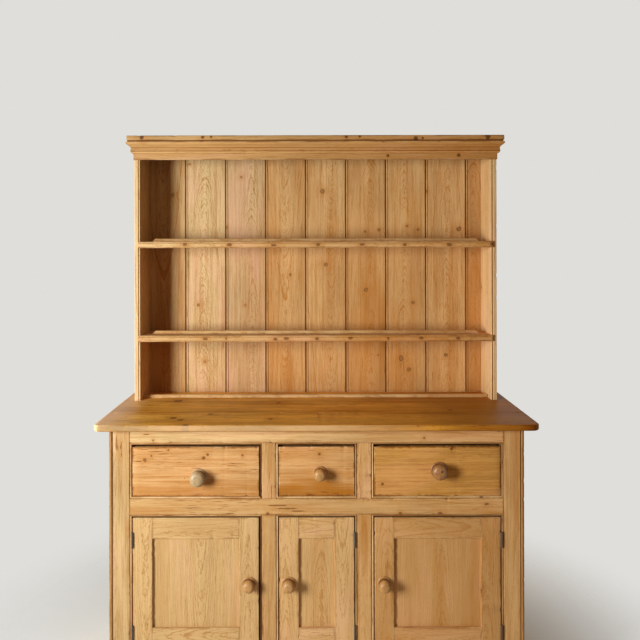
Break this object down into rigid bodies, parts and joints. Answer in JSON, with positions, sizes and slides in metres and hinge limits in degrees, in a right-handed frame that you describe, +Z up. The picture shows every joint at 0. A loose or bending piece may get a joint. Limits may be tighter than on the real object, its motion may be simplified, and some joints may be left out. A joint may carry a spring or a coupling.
{
  "type": "dresser",
  "caption": "Pine kitchen dresser: open plate rack with a moulded cornice on a base with a worktop, drawers with turned knobs and framed panel doors.",
  "frame": {"origin": "floor level, midway across the dresser and midway between the foremost knob and the back", "axes": "+X to the right seen from the front, +Y to the back, +Z up"},
  "size_m": [1.412, 0.5084, 1.828],
  "materials": {
    "frame_pine": "stripped pine, waxed to a soft sheen",
    "rack_pine": "stripped pine, waxed to a soft sheen",
    "cornice_pine": "stripped pine, waxed to a soft sheen",
    "worktop_pine": "stripped pine, waxed to a soft sheen",
    "back_board_pine": "stripped pine, waxed to a soft sheen",
    "drawer_front_pine": "stripped pine, waxed to a soft sheen",
    "door_pine": "stripped pine, waxed to a soft sheen",
    "inner_pine": "bare planed pine",
    "knob_wood": "stripped pine, waxed to a soft sheen",
    "hinge_iron": "dull dark iron, lightly oiled"
  },
  "bodies": {
    "carcass": {"rack_side_left": "rack_pine", "rack_side_right": "rack_pine", "cornice_cap": "cornice_pine", "cornice_fascia": "cornice_pine", "cornice_moulding": "cornice_pine", "upper_shelf": "rack_pine", "lower_shelf": "rack_pine", "upper_shelf_nosing": "rack_pine", "lower_shelf_nosing": "rack_pine", "shelf_plate_rails": "rack_pine", "worktop_plate_rail": "rack_pine", "rack_back_boards": "back_board_pine", "worktop": "worktop_pine", "base_side_left": "frame_pine", "base_side_right": "frame_pine", "bottom_board": "inner_pine", "cupboard_shelf": "inner_pine", "shelf_bearers": "inner_pine", "back_rails": "inner_pine", "drawer_runners": "inner_pine", "drawer_kickers": "inner_pine", "stop_blocks": "inner_pine", "base_back_boards": "inner_pine", "frame_stile_left": "frame_pine", "frame_stile_right": "frame_pine", "frame_muntins": "frame_pine", "top_rail": "frame_pine", "middle_rail": "frame_pine", "bottom_rail": "frame_pine", "plinth_front": "frame_pine", "plinth_returns": "frame_pine", "frame_hinge_leaves": "hinge_iron", "hinge_pins": "hinge_iron"},
    "drawer_left": {"drawer_left_front": "drawer_front_pine", "drawer_left_box": "inner_pine", "drawer_left_bottom": "inner_pine", "drawer_left_knob": "knob_wood"},
    "drawer_centre": {"drawer_centre_front": "drawer_front_pine", "drawer_centre_box": "inner_pine", "drawer_centre_bottom": "inner_pine", "drawer_centre_knob": "knob_wood"},
    "drawer_right": {"drawer_right_front": "drawer_front_pine", "drawer_right_box": "inner_pine", "drawer_right_bottom": "inner_pine", "drawer_right_knob": "knob_wood"},
    "door_left": {"door_left_stiles": "door_pine", "door_left_rails": "door_pine", "door_left_panel": "door_pine", "door_left_knob": "knob_wood", "door_left_hinge_leaves": "hinge_iron"},
    "door_centre": {"door_centre_stiles": "door_pine", "door_centre_rails": "door_pine", "door_centre_panel": "door_pine", "door_centre_knob": "knob_wood", "door_centre_hinge_leaves": "hinge_iron"},
    "door_right": {"door_right_stiles": "door_pine", "door_right_rails": "door_pine", "door_right_panel": "door_pine", "door_right_knob": "knob_wood", "door_right_hinge_leaves": "hinge_iron"}
  },
  "joints": [
    {"name": "drawer_left_slide", "type": "slide", "parent": "carcass", "child": "drawer_left", "axis": [0, -1, 0], "range_m": [0, 0.3]},
    {"name": "drawer_centre_slide", "type": "slide", "parent": "carcass", "child": "drawer_centre", "axis": [0, -1, 0], "range_m": [0, 0.3]},
    {"name": "drawer_right_slide", "type": "slide", "parent": "carcass", "child": "drawer_right", "axis": [0, -1, 0], "range_m": [0, 0.3]},
    {"name": "door_left_hinge", "type": "hinge", "parent": "carcass", "child": "door_left", "pos_m": [-0.58675, -0.22105, 0.3405], "axis": [0, 0, -1], "range_deg": [0, 110]},
    {"name": "door_centre_hinge", "type": "hinge", "parent": "carcass", "child": "door_centre", "pos_m": [0.12075, -0.22105, 0.3405], "axis": [0, 0, 1], "range_deg": [0, 110]},
    {"name": "door_right_hinge", "type": "hinge", "parent": "carcass", "child": "door_right", "pos_m": [0.58675, -0.22105, 0.3405], "axis": [0, 0, 1], "range_deg": [0, 110]}
  ]
}
